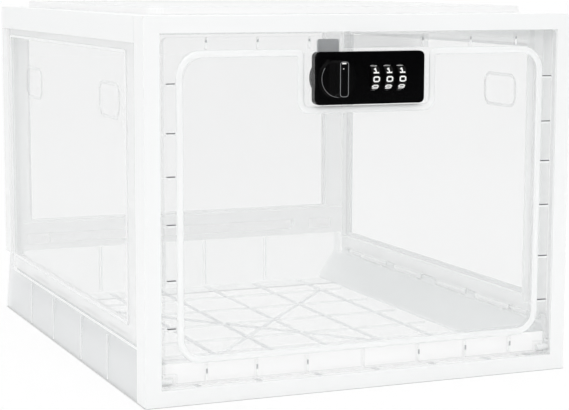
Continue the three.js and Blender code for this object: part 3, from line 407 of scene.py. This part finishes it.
def makeClear(name, setup):
    mat, tree, shader = newMaterial(name)
    coord = addNode(tree, "ShaderNodeTexCoord")
    wave = addNode(tree, "ShaderNodeTexNoise", inputs={"Scale": perMetre(setup["waveSize"]),
                                                       "Detail": setup["waveDetail"]},
                   links={"Vector": coord.outputs["Object"]})
    bump = addNode(tree, "ShaderNodeBump", inputs={"Strength": setup["wave"],
                                                   "Distance": setup["waveDepth"] * mm},
                   links={"Height": wave.outputs["Fac"]})
    edge = addNode(tree, "ShaderNodeLayerWeight", inputs={"Blend": setup["edgeBlend"]})
    # painted sheen: the colour turns whitish where the sheet is seen edge on
    tint = addNode(tree, "ShaderNodeMixRGB", inputs={"Color1": linear(setup["colour"]),
                                                     "Color2": linear(setup["edgeColour"])},
                   links={"Fac": edge.outputs["Facing"]})
    alpha = addNode(tree, "ShaderNodeMapRange",
                    inputs={"From Min": setup["edgeFrom"], "From Max": setup["edgeTo"],
                            "To Min": setup["faceAlpha"], "To Max": setup["edgeAlpha"]},
                    links={"Value": edge.outputs["Facing"]})
    least, most = setup["haze"]
    haze = addNode(tree, "ShaderNodeMapRange", inputs={"To Min": least, "To Max": most},
                   links={"Value": wave.outputs["Fac"]})
    hazed = addNode(tree, "ShaderNodeMath", {"operation": "MULTIPLY"},
                    links={0: alpha.outputs["Result"], 1: haze.outputs["Result"]})
    shader.inputs["Roughness"].default_value = setup["roughness"]
    shader.inputs["IOR"].default_value = setup["ior"]
    tree.links.new(tint.outputs["Color"], shader.inputs["Base Color"])
    tree.links.new(bump.outputs["Normal"], shader.inputs["Normal"])
    addShadowShare(tree, shader, hazed.outputs["Value"], setup["shadowShare"])
    return mat


# zinc plate under baked black enamel: deep, smooth and glossy, with the faintest orange peel
enamel = {
    "colour": "#020203",
    "roughness": 0.14,
    "roughSpread": (-0.05, 0.1),
    "ior": 1.5,
    "shine": 0.45,
    "peelSize": 1.2,
    "peelDetail": 3.0,
    "bump": 0.08,
    "bumpDepth": 0.1,
}

# ABS, moulded black: a fine spark grain that breaks up the shine
blackAbs = {
    **enamel,
    "colour": "#030304",
    "roughness": 0.16,
    "ior": 1.54,
    "shine": 0.4,
    "peelSize": 0.6,
    "bump": 0.1,
}

# the dial wheels are duller, so that their digits stand on plain black
wheelAbs = {**blackAbs, "roughness": 0.3, "shine": 0.1}

# edges of the grip and the disc's rim: a soft grey gleam, a painted highlight
paintedGlintAbs = {**blackAbs, "colour": "#7a7c7e", "roughness": 0.3}


def makeBlack(name, setup):
    mat, tree, shader = newMaterial(name)
    coord = addNode(tree, "ShaderNodeTexCoord")
    peel = addNode(tree, "ShaderNodeTexNoise", inputs={"Scale": perMetre(setup["peelSize"]),
                                                       "Detail": setup["peelDetail"]},
                   links={"Vector": coord.outputs["Object"]})
    bump = addNode(tree, "ShaderNodeBump", inputs={"Strength": setup["bump"],
                                                   "Distance": setup["bumpDepth"] * mm},
                   links={"Height": peel.outputs["Fac"]})
    smoothest, roughest = (setup["roughness"] + change for change in setup["roughSpread"])
    rough = addNode(tree, "ShaderNodeMapRange", inputs={"To Min": smoothest, "To Max": roughest},
                    links={"Value": peel.outputs["Fac"]})
    shader.inputs["Base Color"].default_value = linear(setup["colour"])
    shader.inputs["IOR"].default_value = setup["ior"]
    shader.inputs["Specular IOR Level"].default_value = setup["shine"]
    tree.links.new(rough.outputs["Result"], shader.inputs["Roughness"])
    tree.links.new(bump.outputs["Normal"], shader.inputs["Normal"])
    return mat


# zinc-plated steel: light dull grey, with a fine drawn grain
plated = {
    "colour": "#dcdee0",
    "roughness": 0.6,
    "roughSpread": (-0.08, 0.12),
    "grainSize": 0.5,
    "grainStretch": (1.0, 1.0, 0.08),
    "grainDetail": 3.0,
    "bump": 0.1,
    "bumpDepth": 0.1,
    "metallic": 1.0,
}


def makePlated(setup):
    mat, tree, shader = newMaterial("zinc-plated steel")
    coord = addNode(tree, "ShaderNodeTexCoord")
    stretch = addNode(tree, "ShaderNodeMapping", inputs={"Scale": setup["grainStretch"]},
                      links={"Vector": coord.outputs["Object"]})
    grain = addNode(tree, "ShaderNodeTexNoise", inputs={"Scale": perMetre(setup["grainSize"]),
                                                        "Detail": setup["grainDetail"]},
                    links={"Vector": stretch.outputs["Vector"]})
    smoothest, roughest = (setup["roughness"] + change for change in setup["roughSpread"])
    rough = addNode(tree, "ShaderNodeMapRange", inputs={"To Min": smoothest, "To Max": roughest},
                    links={"Value": grain.outputs["Fac"]})
    bump = addNode(tree, "ShaderNodeBump", inputs={"Strength": setup["bump"],
                                                   "Distance": setup["bumpDepth"] * mm},
                   links={"Height": grain.outputs["Fac"]})
    shader.inputs["Base Color"].default_value = linear(setup["colour"])
    shader.inputs["Metallic"].default_value = setup["metallic"]
    tree.links.new(rough.outputs["Result"], shader.inputs["Roughness"])
    tree.links.new(bump.outputs["Normal"], shader.inputs["Normal"])
    return mat


milkyPlastic = makeMilky("milky moulded polypropylene", milky)
naturalPlastic = makeMilky("natural moulded polypropylene", natural)
trayPlastic = makeMilky("natural grained polypropylene tray", tray)
clearDoor = makeClear("clear moulded polystyrene door", clear)
clearSheet = makeClear("clear moulded polystyrene sheet", clear)
clearPaintedHighlight = makeClear("clear moulded polystyrene ridge", clearPaintedHighlightLook)
clearThumb = makeClear("clear moulded polystyrene ring", clearRing)
clearPaintedShade = makeClear("clear moulded polystyrene seen edge on", clearPaintedShadeLook)
clearPaintedLight = makeClear("polystyrene sheet of painted light", clearPaintedLightLook)
clearGrey = makeClear("clear moulded polystyrene upper edge", clearShaded)
clearTickShade = makeClear("clear moulded polystyrene rib end", clearTickShadeLook)
cloudyPlastic = makeMilky("cloudy moulded polypropylene", cloudy)
blackEnamel = makeBlack("black baked enamel", enamel)
blackPlastic = makeBlack("black moulded ABS", blackAbs)
wheelPlastic = makeBlack("dull black moulded ABS", wheelAbs)
paintedGlintPlastic = makeBlack("black moulded ABS with a painted glint", paintedGlintAbs)
platedSteel = makePlated(plated)

finishOf = {  # what isn't named here is plated steel: spindle, cam, cam nut, screws, fence, axle and springs
    "base_tray": trayPlastic,
    "front_frame": milkyPlastic,
    "left_hinge_rod": milkyPlastic,
    "right_hinge_rod": milkyPlastic,
    "door_hinge_pin_left": milkyPlastic,
    "door_hinge_pin_right": milkyPlastic,
    "rear_panel_frame": naturalPlastic,
    "lid_frame": milkyPlastic,
    "front_door": clearDoor,
    "left_side_frame": naturalPlastic,
    "right_side_frame": naturalPlastic,
    "left_side_window": clearSheet,
    "right_side_window": clearSheet,
    "rear_window": clearSheet,
    "lid_window": cloudyPlastic,
    "lock_faceplate": blackEnamel,
    "lock_mounting_nut": blackEnamel,
    "lock_knob": blackPlastic,
    "lock_case": blackPlastic,
    "code_reset_button": blackPlastic,
    "dial_wheel_1": wheelPlastic,
    "dial_wheel_2": wheelPlastic,
    "dial_wheel_3": wheelPlastic,
}

for nodeName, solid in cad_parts.items():
    solid.data.materials.clear()
    solid.data.materials.append(finishOf.get(nodeName, platedSteel))
print("materials made")

# moulded edges: no real mould leaves a razor edge, and each small round catches a line of light
edgeRounds = {
    "front_frame": 0.8,
    "lid_frame": 0.6,
    "lid_window": 0.7,
    "front_door": 0.35,
    "base_tray": 0.4,
    "rear_panel_frame": 0.5,
    "left_side_frame": 0.5,
    "right_side_frame": 0.5,
    "left_side_window": 0.45,
    "right_side_window": 0.45,
    "rear_window": 0.4,
    "lock_faceplate": 0.25,
    "lock_knob": 0.55,
    "lock_mounting_nut": 0.4,
    "lock_cam": 0.2,
}
edgeStyle = {
    "flatAngle": 0.5,  # faces that turn by less than this are one flat face
    "cornerAngle": 40,  # edges that turn by more than this are rounded
    "segments": 2,
}


def roundEdges(solid, width, style):
    flat = solid.modifiers.new("flat faces", "DECIMATE")
    flat.decimate_type = "DISSOLVE"
    flat.angle_limit = math.radians(style["flatAngle"])
    soft = solid.modifiers.new("moulded edges", "BEVEL")
    soft.width = width * mm
    soft.segments = style["segments"]
    soft.limit_method = "ANGLE"
    soft.angle_limit = math.radians(style["cornerAngle"])
    soft.use_clamp_overlap = False


for nodeName, width in edgeRounds.items():
    roundEdges(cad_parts[nodeName], width, edgeStyle)
print("edges rounded")


# thin strips that lie on the solids, each put on its surface by a small place function
stripStyle = {
    "foot": -0.1,  # most strips sink this far into the solid that carries them
    "mitre": 0.4,  # least cosine at a turn, so that a strip doesn't grow wide where it turns sharply
}


def placeOnFront(y, x=0, z=0):  # flat points on a plane that faces the viewer, a rise towards the viewer
    def place(u, v, rise):
        return Vector((x + u, y - rise, z + v)) * mm
    return place


def placeOnSide(side, x):  # flat points on the left (-1) or right (1) side, a rise outwards
    def place(u, v, rise):
        return Vector((side * (x + rise), u, v)) * mm
    return place


def acrossPath(path, i, closed):  # across the path at one of its points, longer at a turn to keep the width
    count = len(path)
    ways = []
    if closed or i > 0:
        ways.append((path[i] - path[i - 1]).normalized())
    if closed or i < count - 1:
        ways.append((path[(i + 1) % count] - path[i]).normalized())
    along = sum(ways, Vector((0, 0))).normalized()
    return Vector((-along.y, along.x)) / max(stripStyle["mitre"], along.dot(ways[0]))


def skinRows(mesh, rows, closed):  # each row holds the four corners of the strip's section
    pairs = list(zip(rows, rows[1:])) + ([(rows[-1], rows[0])] if closed else [])
    for a, b in pairs:
        for m, n in ((0, 1), (1, 3), (3, 2), (2, 0)):
            mesh.faces.new((a[m], a[n], b[n], b[m]))
    if not closed:
        for row in (rows[0], rows[-1]):
            mesh.faces.new((row[0], row[1], row[3], row[2]))


def addRibbon(mesh, points, width, rises, place):  # a flat strip with a little thickness
    closed = points[0] == points[-1]
    path = [Vector(p) for p in (points[:-1] if closed else points)]
    rows = []
    for i, here in enumerate(path):
        reach = acrossPath(path, i, closed) * width / 2
        sides = (here + reach, here - reach)
        rows.append([mesh.verts.new(place(s.x, s.y, rise)) for rise in rises for s in sides])
    skinRows(mesh, rows, closed)


def shortSteps(points, step):
    out = [points[0]]
    for a, b in zip(points, points[1:]):
        pieces = max(1, math.ceil(math.dist(a, b) / step))
        out += [(a[0] + (b[0] - a[0]) * k / pieces, a[1] + (b[1] - a[1]) * k / pieces)
                for k in range(1, pieces + 1)]
    return out


def finishPiece(name, mesh, material, body, smooth=False):
    bmesh.ops.recalc_face_normals(mesh, faces=mesh.faces)
    data = bpy.data.meshes.new(name)
    mesh.to_mesh(data)
    mesh.free()
    for face in data.polygons:
        face.use_smooth = smooth
    data.materials.append(material)
    piece = bpy.data.objects.new(name, data)
    bpy.context.scene.collection.objects.link(piece)
    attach(piece, body)


def roundedPath(corners, steps):  # corners as (x, z, radius), each rounded by an arc
    out = []
    count = len(corners)
    for i, (x, z, radius) in enumerate(corners):
        here = Vector((x, z))
        back = (Vector(corners[i - 1][:2]) - here).normalized()
        on = (Vector(corners[(i + 1) % count][:2]) - here).normalized()
        middle = here + (back + on) * radius
        start = here + back * radius - middle
        end = here + on * radius - middle
        for k in range(steps + 1):
            turn = k / steps * math.pi / 2
            at = middle + start * math.cos(turn) + end * math.sin(turn)
            out.append((at.x, at.y))
    return out + [out[0]]


def addCrown(mesh, points, width, crown, steps, place):  # a strip with a rounded top along a closed path
    path = [Vector(p) for p in points[:-1]]
    rows = []
    for i, here in enumerate(path):
        reach = acrossPath(path, i, True) * width / 2
        row = []
        for k in range(steps + 1):
            turn = k / steps * math.pi
            side = here + reach * math.cos(turn)
            row.append(place(side.x, side.y, crown * math.sin(turn)))
        row += [place(side.x, side.y, stripStyle["foot"]) for side in (here - reach, here + reach)]
        rows.append([mesh.verts.new(v) for v in row])
    for a, b in zip(rows, rows[1:] + rows[:1]):
        for k in range(len(a)):
            n = (k + 1) % len(a)
            mesh.faces.new((a[k], a[n], b[n], b[k]))


# the ridge round the door's pane is rounded: a low crowned strip along the flat ridge of the solid
ridgeLook = {
    "outerHalf": 128.9,  # outer edge of the ridge, from the middle of the door
    "top": 220.4,
    "bottom": 25.85,
    "width": 4.5,
    "corner": 16,
    "pocketHalf": 44,  # the flat pocket under the lock, round which the ridge dips
    "pocketBottom": 184.3,
    "pocketCorner": 5.75,
    "meetCorner": 3,
    "crown": 0.75,
    "face": -171.5,
    "cornerSteps": 7,
    "crownSteps": 6,
}


def makeRidge(look):
    inset = look["width"] / 2
    half = look["outerHalf"] - inset
    top = look["top"] - inset
    bottom = look["bottom"] + inset
    turn = look["corner"] - inset
    dipHalf = look["pocketHalf"] + inset
    dipBottom = look["pocketBottom"] - inset
    dipTurn = look["pocketCorner"]
    meetTurn = look["meetCorner"]
    corners = [
        (-half, bottom, turn), (half, bottom, turn), (half, top, turn), (dipHalf, top, meetTurn),
        (dipHalf, dipBottom, dipTurn), (-dipHalf, dipBottom, dipTurn), (-dipHalf, top, meetTurn),
        (-half, top, turn),
    ]
    mesh = bmesh.new()
    addCrown(mesh, roundedPath(corners, look["cornerSteps"]), look["width"], look["crown"],
             look["crownSteps"], placeOnFront(look["face"]))
    # the strip is pale, a painted highlight
    finishPiece("door_pane_ridge", mesh, clearPaintedHighlight, "door", smooth=True)


makeRidge(ridgeLook)

# raised rings of the thumb rests, rounded on top, on the outer face of both side windows
thumbLook = {
    "left_side": [(-113.5, -68.5), (78.5, 123.5)],
    "right_side": [(84.5, 129.5), (-107.5, -62.5)],
    "bottom": 174,
    "top": 198,
    "width": 2.2,
    "corner": 8,
    "crown": 0.45,
    "cornerSteps": 6,
    "crownSteps": 5,
}


def makeThumbRings(body, side, look):
    low, high = (Vector(corner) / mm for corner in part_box(body + "_window"))
    faceX = max(abs(low.x), abs(high.x))
    inset = look["width"] / 2
    turn = look["corner"] - inset
    bottom, top = look["bottom"] + inset, look["top"] - inset
    mesh = bmesh.new()
    for front, back in look[body]:
        front += inset
        back -= inset
        corners = [(front, bottom, turn), (back, bottom, turn), (back, top, turn), (front, top, turn)]
        addCrown(mesh, roundedPath(corners, look["cornerSteps"]), look["width"], look["crown"],
                 look["crownSteps"], placeOnSide(side, faceX))
    finishPiece(body + "_thumb_rings", mesh, clearThumb, body, smooth=True)


sideOf = {"left_side": -1, "right_side": 1}  # each folding body, and its side along X
for body, side in sideOf.items():
    makeThumbRings(body, side, thumbLook)

# ribs of the door's channel: a pale front edge, a painted highlight, with a dark line over it, a painted
# shade where light is turned away
ribLook = {
    "heights": [199.5, 169.2, 142.5, 112.7, 77.8, 47.6],
    "inner": 129.2,
    "outer": {-1: 134.6, 1: 136.6},
    "columns": [109, 75, 40],
    "topRun": (221.5, 225.2),
    "topShade": (225.2, 226.9),
    "bottomRun": (14.5, 18.6),
    "bottomShade": (18.6, 21.6),
    "rib": 1.2,
    "ribRise": 0.12,
    "tickRise": 0.14,
    "shade": 0.55,
    "shadeRise": 0.05,
    "frontY": -170.3,
    "shadeY": -168.6,  # how far back the dark line reaches
    "backY": -166.2,
    "lowerChannel": [(-137, 18.5), (137, 18.5)],  # middle line of the channel along the door's foot
    "lowerWidth": 14.2,
    "upperChannel": [(-14, 224.8), (46, 224.8)],  # and over the lock
    "upperWidth": 8.4,
    "channelRise": 0.15,
}


def makeRibEdges(look):
    pale = bmesh.new()
    dark = bmesh.new()
    ticks = bmesh.new()
    foot = stripStyle["foot"]
    paleRises = (foot, look["ribRise"])
    darkRises = (look["frontY"] - look["shadeY"], look["shadeRise"])
    tickRises = (foot, look["tickRise"])
    place = placeOnFront(look["frontY"])
    for side in sideOf.values():
        for z in look["heights"]:
            outer = look["outer"][side]
            over = z + (look["rib"] + look["shade"]) / 2
            addRibbon(pale, [(side * look["inner"], z), (side * outer, z)], look["rib"], paleRises, place)
            addRibbon(dark, [(side * look["inner"], over), (side * outer, over)], look["shade"],
                      darkRises, place)
        for x in look["columns"]:
            for low, high in (look["topRun"], look["bottomRun"]):
                addRibbon(pale, [(side * x, low), (side * x, high)], look["rib"], paleRises, place)
            for low, high in (look["topShade"], look["bottomShade"]):
                addRibbon(ticks, [(side * x, low), (side * x, high)], look["rib"], tickRises, place)
    finishPiece("door_rib_ticks", ticks, clearTickShade, "door")
    finishPiece("door_rib_faces", pale, clearPaintedHighlight, "door")
    finishPiece("door_rib_shades", dark, clearPaintedShade, "door")


def makeChannels(look):
    rises = (stripStyle["foot"], look["channelRise"])
    place = placeOnFront(look["backY"])
    # two sheets over the channel's floor: a whitish one of painted light along the door's foot, and a grey
    # one of painted shade over the lock
    lower = bmesh.new()
    addRibbon(lower, look["lowerChannel"], look["lowerWidth"], rises, place)
    finishPiece("door_lower_channel", lower, clearPaintedLight, "door")
    upper = bmesh.new()
    addRibbon(upper, look["upperChannel"], look["upperWidth"], rises, place)
    finishPiece("door_upper_channel", upper, clearGrey, "door")


makeRibEdges(ribLook)
makeChannels(ribLook)
print("door's ridge, ribs and channels made")

# pale bands along the rear rail, painted light
railLook = {
    "runs": [(-134, -116.4), (-115.2, 96), (113.6, 133.4)],
    "z": 55.2,
    "height": 7.6,
    "wallY": 183,
    "depth": 4.2,
}


def makeLedges(look):
    mesh = bmesh.new()
    for low, high in look["runs"]:
        addRibbon(mesh, [(low, look["z"]), (high, look["z"])], look["height"], (0, look["depth"]),
                  placeOnFront(look["wallY"]))
    finishPiece("rear_rail_ledges", mesh, clearPaintedLight, "box")


makeLedges(railLook)

# faces of the side hinges' knuckles: bright dashes along the foot of each side
knuckleLook = {
    "runs": [(20.5, 67.5), (82.5, 130.5), (-51.5, -4.5), (-114.5, -66.5)],
    "x": 142.5,
    "z": 32.5,
    "radii": (2.35, 2.55),
    "half": 80,  # degrees either way of the inner side
    "steps": 10,
}


def makeKnuckleFaces(body, side, look):
    mesh = bmesh.new()
    for low, high in look["runs"]:
        rows = []
        for k in range(look["steps"] + 1):
            turn = math.radians(look["half"]) * (2 * k / look["steps"] - 1)
            rows.append([
                mesh.verts.new(Vector((side * (look["x"] - r * math.cos(turn)), y,
                                       look["z"] + r * math.sin(turn))) * mm)
                for r in look["radii"] for y in (low, high)
            ])
        skinRows(mesh, rows, False)
    finishPiece(body + "_knuckle_faces", mesh, milkyPlastic, body)


for body, side in sideOf.items():
    makeKnuckleFaces(body, side, knuckleLook)

# pale lines on the outside, a painted highlight where edges catch the light: the tray's rim and its upright
# ribs
rimLook = {
    "rimX": 149.1,
    "rimLine": [(-153.8, 34.1), (169.8, 34.1)],
    "rimWidth": 1.7,
    "rimRise": 0.2,
    "ribX": 150,
    "ribPlaces": [-91.2, -28.3, 44.3, 107.2],
    "ribBottom": 1.2,
    "ribTop": 31.5,
    "ribWidth": 1.5,
    "ribRise": 0.15,
}


def makeRims(look):
    foot = stripStyle["foot"]
    mesh = bmesh.new()
    for side in sideOf.values():
        for y in look["ribPlaces"]:
            addRibbon(mesh, [(y, look["ribBottom"]), (y, look["ribTop"])], look["ribWidth"],
                      (foot, look["ribRise"]), placeOnSide(side, look["ribX"]))
        addRibbon(mesh, look["rimLine"], look["rimWidth"], (foot, look["rimRise"]),
                  placeOnSide(side, look["rimX"]))
    finishPiece("tray_rim_edges", mesh, milkyPlastic, "box")


makeRims(rimLook)

# bead round the outside of each side window
beadLook = {
    "x": 148.3,
    "width": 1.8,
    "front": -131.5,
    "back": 167.5,
    "bottom": 45,
    "top": 220,
    "corner": 1.5,
    "cornerSteps": 3,
    "crown": 0.35,
    "crownSteps": 5,
}


def makeBead(body, side, look):
    inset = look["width"] / 2
    front, back = look["front"] + inset, look["back"] - inset
    bottom, top = look["bottom"] + inset, look["top"] - inset
    turn = look["corner"]
    corners = [(front, bottom, turn), (back, bottom, turn), (back, top, turn), (front, top, turn)]
    mesh = bmesh.new()
    addCrown(mesh, roundedPath(corners, look["cornerSteps"]), look["width"], look["crown"],
             look["crownSteps"], placeOnSide(side, look["x"]))
    finishPiece(body + "_window_bead", mesh, milkyPlastic, body)


for body, side in sideOf.items():
    makeBead(body, side, beadLook)
print("ledges, knuckles, rims and beads made")

# hot-stamped marking foil: flat opaque white, a little worn in small patches
foil = {
    "colour": "#f4f4f2",
    "wornColour": "#cfcfcc",
    "wearSize": 0.7,
    "wearDetail": 3.0,
    "wearFrom": 0.6,
    "wearTo": 0.8,
    "roughness": 0.45,
    "ior": 1.5,
}


def makeFoil(setup):
    mat, tree, shader = newMaterial("white hot-stamped foil")
    coord = addNode(tree, "ShaderNodeTexCoord")
    wear = addNode(tree, "ShaderNodeTexNoise", inputs={"Scale": perMetre(setup["wearSize"]),
                                                       "Detail": setup["wearDetail"]},
                   links={"Vector": coord.outputs["Object"]})
    ramp = addNode(tree, "ShaderNodeMapRange", inputs={"From Min": setup["wearFrom"],
                                                       "From Max": setup["wearTo"]},
                   links={"Value": wear.outputs["Fac"]})
    shade = addNode(tree, "ShaderNodeMixRGB", inputs={"Color1": linear(setup["colour"]),
                                                      "Color2": linear(setup["wornColour"])},
                    links={"Fac": ramp.outputs["Result"]})
    shader.inputs["Roughness"].default_value = setup["roughness"]
    shader.inputs["IOR"].default_value = setup["ior"]
    tree.links.new(shade.outputs["Color"], shader.inputs["Base Color"])
    return mat


whiteFoil = makeFoil(foil)

# dial digits: wider than they are tall, drawn on a square from -1 to 1 and wrapped round the wheel
digitLook = {
    "width": 4.7,
    "height": 3.8,
    "line": 0.9,
    "rises": (-0.12, 0.06),  # foot and face of the print off the wheel's rim
    "lift": 0.01,  # that each further line of a digit stands higher
    "step": 0.7,
    "turned": 5.5,  # degrees that the 0 stands below the middle of its window
}
lowBowl = [(0.6, 0.15), (1, -0.2), (1, -0.6), (0.6, -1), (-0.6, -1), (-1, -0.6)]
ringed = [(-0.6, 1), (0.6, 1), (1, 0.6), (1, -0.6), (0.6, -1), (-0.6, -1), (-1, -0.6), (-1, 0.6), (-0.6, 1)]
six = [[(0.9, 0.8), (0.5, 1), (-0.6, 1), (-1, 0.6), (-1, -0.6), (-0.6, -1), (0.6, -1), (1, -0.6), (1, -0.2),
        (0.6, 0.1), (-0.95, 0.1)]]
digitLines = [  # from 0 to 9, each as one or two lines
    [ringed],
    [[(-0.6, 0.5), (0, 1), (0, -0.95)], [(-1, -1), (1, -1)]],
    [[(-1, 0.5), (-0.6, 1), (0.6, 1), (1, 0.6), (1, 0.2), (-0.9, -1), (1, -1)]],
    [[(-1, 1), (0.95, 1), (0.1, 0.15)] + lowBowl],
    [[(0.5, -1), (0.5, 1), (-0.95, -0.35), (1, -0.35)]],
    [[(1, 1), (-0.9, 1), (-1, 0.15)] + lowBowl],
    six,
    [[(-1, 1), (0.95, 1), (-0.3, -1)]],
    [[(-0.5, 0.08), (-0.85, 0.35), (-0.85, 0.75), (-0.5, 1), (0.5, 1), (0.85, 0.75), (0.85, 0.35),
      (0.5, 0.08), (-0.5, 0.08)],
     [(-0.6, 0.08), (0.6, 0.08), (1, -0.25), (1, -0.7), (0.6, -1), (-0.6, -1), (-1, -0.7), (-1, -0.25),
      (-0.6, 0.08)]],
    [[(-u, -v) for u, v in line] for line in six],
]


def makeDigits(number, look):
    low, high = (Vector(corner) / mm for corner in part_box("dial_wheel_%d" % number))
    middle = (low + high) / 2
    radius = (high.z - low.z) / 2
    across = (look["width"] - look["line"]) / 2
    tall = (look["height"] - look["line"]) / 2
    mesh = bmesh.new()
    for digit, lines in enumerate(digitLines):
        centre = digit * math.tau / len(digitLines) - math.radians(look["turned"])

        def placeOnRim(u, v, rise):
            turn = centre + v / radius
            reach = radius + rise
            return Vector((
                middle.x + u,
                middle.y - reach * math.cos(turn),
                middle.z + reach * math.sin(turn),
            )) * mm

        for order, line in enumerate(lines):
            sized = [(u * across, v * tall) for u, v in line]
            rises = [rise + order * look["lift"] for rise in look["rises"]]
            addRibbon(mesh, shortSteps(sized, look["step"]), look["line"], rises, placeOnRim)
    finishPiece("wheel_%d_digits" % number, mesh, whiteFoil, "wheel_%d" % number)


for number in (1, 2, 3):
    makeDigits(number, digitLook)
print("digits printed")

# index mark at the top end of the grip, with its small dot below
markLook = {
    "rises": (-0.1, 0.06),
    "bar": [(-1.6, 9.9), (1.2, 9.9)],  # from the knob's middle
    "barLine": 0.9,
    "dot": [(-0.9, 6.6), (-0.3, 6.6)],
    "dotLine": 0.55,
}


def makeMark(look):
    low, high = (Vector(corner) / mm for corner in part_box("lock_knob"))
    middle = (low + high) / 2
    onGrip = placeOnFront(low.y, middle.x, middle.z)
    mesh = bmesh.new()
    addRibbon(mesh, look["bar"], look["barLine"], look["rises"], onGrip)
    addRibbon(mesh, look["dot"], look["dotLine"], look["rises"], onGrip)
    finishPiece("knob_index_mark", mesh, whiteFoil, "knob")


makeMark(markLook)

# painted highlights on fine edges of the knob: the outline of the grip's front, and the rim of the disc
# behind it
knobLook = {
    "gripHalf": (2.75, 10.85),
    "gripCorner": 1.7,
    "cornerSteps": 4,
    "radius": 11.75,
    "rimArc": (145, 285),  # degrees round the disc where its rim carries the painted gleam
    "rimSteps": 28,
    "discOut": 2.8,  # front of the disc, out from the faceplate
    "gripLine": 0.42,
    "rimLine": 0.34,
    "rises": (-0.1, 0.03),
}


def makeKnobEdges(look):
    low, high = (Vector(corner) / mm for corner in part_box("lock_knob"))
    middle = (low + high) / 2
    discY = Vector(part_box("lock_faceplate")[0]).y / mm - look["discOut"]
    onGrip = placeOnFront(low.y, middle.x, middle.z)
    onDisc = placeOnFront(discY, middle.x, middle.z)
    mesh = bmesh.new()
    across, tall = look["gripHalf"]
    corner = look["gripCorner"]
    corners = [(-across, -tall, corner), (across, -tall, corner), (across, tall, corner),
               (-across, tall, corner)]
    addRibbon(mesh, roundedPath(corners, look["cornerSteps"]), look["gripLine"], look["rises"], onGrip)
    start, end = (math.radians(turn) for turn in look["rimArc"])
    arc = []
    for k in range(look["rimSteps"] + 1):
        turn = start + (end - start) * k / look["rimSteps"]
        arc.append((look["radius"] * math.cos(turn), look["radius"] * math.sin(turn)))
    addRibbon(mesh, arc, look["rimLine"], look["rises"], onDisc)
    finishPiece("knob_painted_glints", mesh, paintedGlintPlastic, "knob")


makeKnobEdges(knobLook)
print("knob marked")

bpy.context.scene.view_settings.view_transform = "Standard"
print("scene done")
